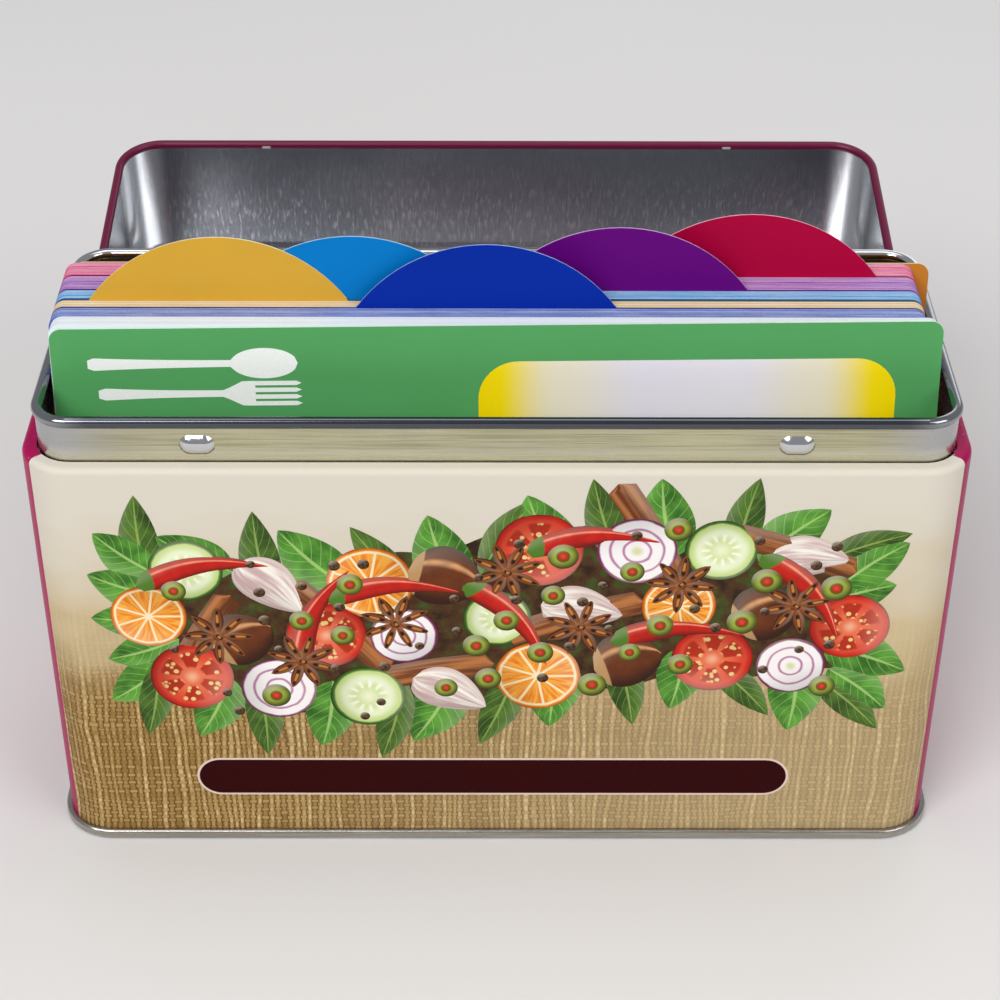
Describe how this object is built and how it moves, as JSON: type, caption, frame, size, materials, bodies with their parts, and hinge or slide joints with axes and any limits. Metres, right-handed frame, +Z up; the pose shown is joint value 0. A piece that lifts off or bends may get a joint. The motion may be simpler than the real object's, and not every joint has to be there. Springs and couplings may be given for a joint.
{
  "type": "recipe tin",
  "caption": "Hinged tinplate box for index cards, with a rolled-rim neck, a deep drawn lid folded back, and lift-out cards and tabbed dividers inside.",
  "frame": {"origin": "centre of the box's outline on the plane that its bottom seam ring stands on", "axes": "+Z up, +X along the long front to the viewer's right, +Y from the front to the hinge"},
  "size_m": [0.165, 0.1391, 0.1136],
  "materials": {
    "painted_tin": "gloss lacquer over print",
    "bare_tin": "bright tinplate",
    "hinge_wire": "drawn wire",
    "cover_card": "smooth card stock",
    "white_cards": "smooth card stock",
    "blue_cards": "smooth card stock",
    "dark_blue_divider": "smooth card stock",
    "gold_cards": "smooth card stock",
    "gold_divider": "smooth card stock",
    "light_blue_divider": "smooth card stock",
    "light_blue_cards": "smooth card stock",
    "purple_divider": "smooth card stock",
    "purple_cards": "smooth card stock",
    "crimson_divider": "smooth card stock",
    "pink_cards": "smooth card stock",
    "back_card": "smooth card stock"
  },
  "bodies": {
    "tin": {"box_wall": "painted_tin", "neck_collar": "bare_tin", "bottom_plate": "bare_tin", "left_box_hinge_leaf": "bare_tin", "right_box_hinge_leaf": "bare_tin", "left_hinge_pin": "hinge_wire", "right_hinge_pin": "hinge_wire"},
    "lid": {"lid_shell": "painted_tin", "left_lid_hinge_leaf": "bare_tin", "right_lid_hinge_leaf": "bare_tin"},
    "cover_card": {"cover_card": "cover_card"},
    "white_cards": {"white_cards": "white_cards"},
    "blue_cards": {"blue_cards": "blue_cards"},
    "dark_blue_divider": {"dark_blue_divider": "dark_blue_divider"},
    "gold_cards": {"gold_cards": "gold_cards"},
    "gold_divider": {"gold_divider": "gold_divider"},
    "light_blue_divider": {"light_blue_divider": "light_blue_divider"},
    "light_blue_cards": {"light_blue_cards": "light_blue_cards"},
    "purple_divider": {"purple_divider": "purple_divider"},
    "purple_cards": {"purple_cards": "purple_cards"},
    "crimson_divider": {"crimson_divider": "crimson_divider"},
    "pink_cards": {"pink_cards": "pink_cards"},
    "back_card": {"back_card": "back_card"}
  },
  "joints": [
    {"name": "lid_hinge", "type": "hinge", "parent": "tin", "child": "lid", "pos_m": [0, 0.03375, 0.0764], "axis": [-1, 0, 0], "range_deg": [-170.5, 0]},
    {"name": "cover_card_lift", "type": "slide", "parent": "tin", "child": "cover_card", "axis": [0, 0.1564, 0.9877], "range_m": [0, 0.095]},
    {"name": "white_cards_lift", "type": "slide", "parent": "tin", "child": "white_cards", "axis": [0, 0.1564, 0.9877], "range_m": [0, 0.095]},
    {"name": "blue_cards_lift", "type": "slide", "parent": "tin", "child": "blue_cards", "axis": [0, 0.1564, 0.9877], "range_m": [0, 0.095]},
    {"name": "dark_blue_divider_lift", "type": "slide", "parent": "tin", "child": "dark_blue_divider", "axis": [0, 0.1564, 0.9877], "range_m": [0, 0.095]},
    {"name": "gold_cards_lift", "type": "slide", "parent": "tin", "child": "gold_cards", "axis": [0, 0.1564, 0.9877], "range_m": [0, 0.095]},
    {"name": "gold_divider_lift", "type": "slide", "parent": "tin", "child": "gold_divider", "axis": [0, 0.1564, 0.9877], "range_m": [0, 0.095]},
    {"name": "light_blue_divider_lift", "type": "slide", "parent": "tin", "child": "light_blue_divider", "axis": [0, 0.1564, 0.9877], "range_m": [0, 0.095]},
    {"name": "light_blue_cards_lift", "type": "slide", "parent": "tin", "child": "light_blue_cards", "axis": [0, 0.1564, 0.9877], "range_m": [0, 0.095]},
    {"name": "purple_divider_lift", "type": "slide", "parent": "tin", "child": "purple_divider", "axis": [0, 0.1564, 0.9877], "range_m": [0, 0.095]},
    {"name": "purple_cards_lift", "type": "slide", "parent": "tin", "child": "purple_cards", "axis": [0, 0.1564, 0.9877], "range_m": [0, 0.095]},
    {"name": "crimson_divider_lift", "type": "slide", "parent": "tin", "child": "crimson_divider", "axis": [0, 0.1564, 0.9877], "range_m": [0, 0.095]},
    {"name": "pink_cards_lift", "type": "slide", "parent": "tin", "child": "pink_cards", "axis": [0, 0.1564, 0.9877], "range_m": [0, 0.095]},
    {"name": "back_card_lift", "type": "slide", "parent": "tin", "child": "back_card", "axis": [0, 0.1564, 0.9877], "range_m": [0, 0.095]}
  ]
}
